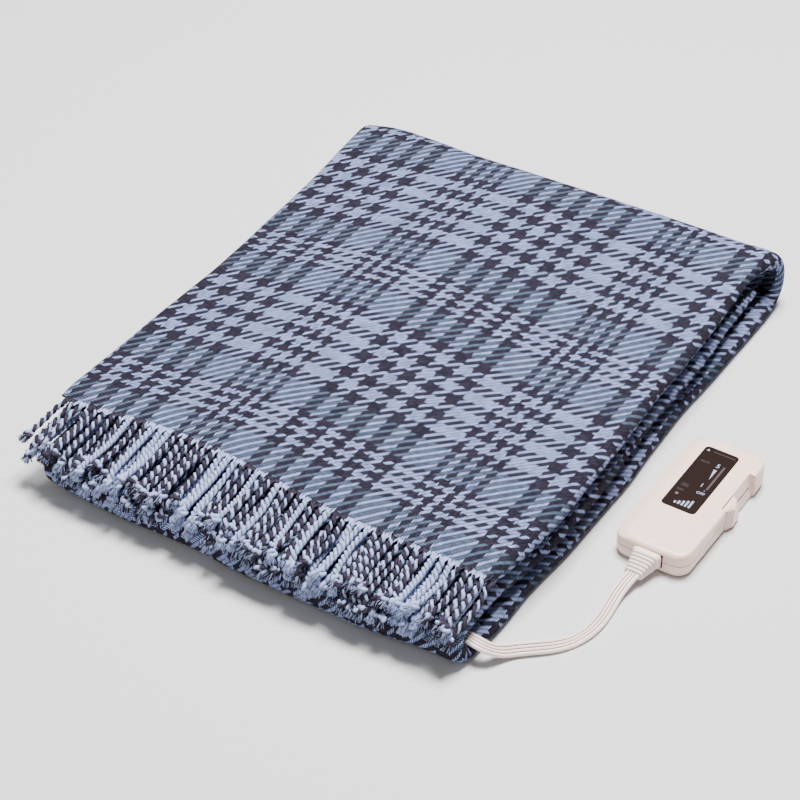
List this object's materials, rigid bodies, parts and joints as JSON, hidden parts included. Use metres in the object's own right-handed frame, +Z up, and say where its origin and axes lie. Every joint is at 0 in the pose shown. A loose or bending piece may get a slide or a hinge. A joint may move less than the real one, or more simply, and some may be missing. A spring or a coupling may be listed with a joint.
{
  "type": "electric heated blanket",
  "caption": "Woven check electric blanket folded in three with a knotted fringe, a flat cord and a hand controller with a slider.",
  "frame": {"origin": "middle of the footprint of the folded blanket with its controller, on the surface they lie on", "axes": "+Y runs from the fringed near end of the blanket to its far fold, +X across it towards the controller, +Z up"},
  "size_m": [0.5012, 0.5532, 0.06],
  "materials": {
    "woven_cloth": "woven twill, matte",
    "twisted_yarn": "twisted yarn, matte",
    "moulded_abs": "fine satin moulding",
    "printed_label": "smooth printed film",
    "lamp_lens": "polished lens",
    "ivory_pvc": "soft satin"
  },
  "bodies": {
    "blanket_and_controller": {"blanket": "woven_cloth", "fringe_upper": "twisted_yarn", "fringe_lower": "twisted_yarn", "case_top": "moulded_abs", "case_base": "moulded_abs", "label_panel": "printed_label", "lamp": "lamp_lens", "mains_inlet": "moulded_abs", "cord_sleeve": "ivory_pvc", "cord": "ivory_pvc"},
    "slider": {"slider_knob": "moulded_abs"}
  },
  "joints": [
    {"name": "heat_slide", "type": "slide", "parent": "blanket_and_controller", "child": "slider", "axis": [0, 1, 0], "range_m": [0, 0.0285]}
  ]
}
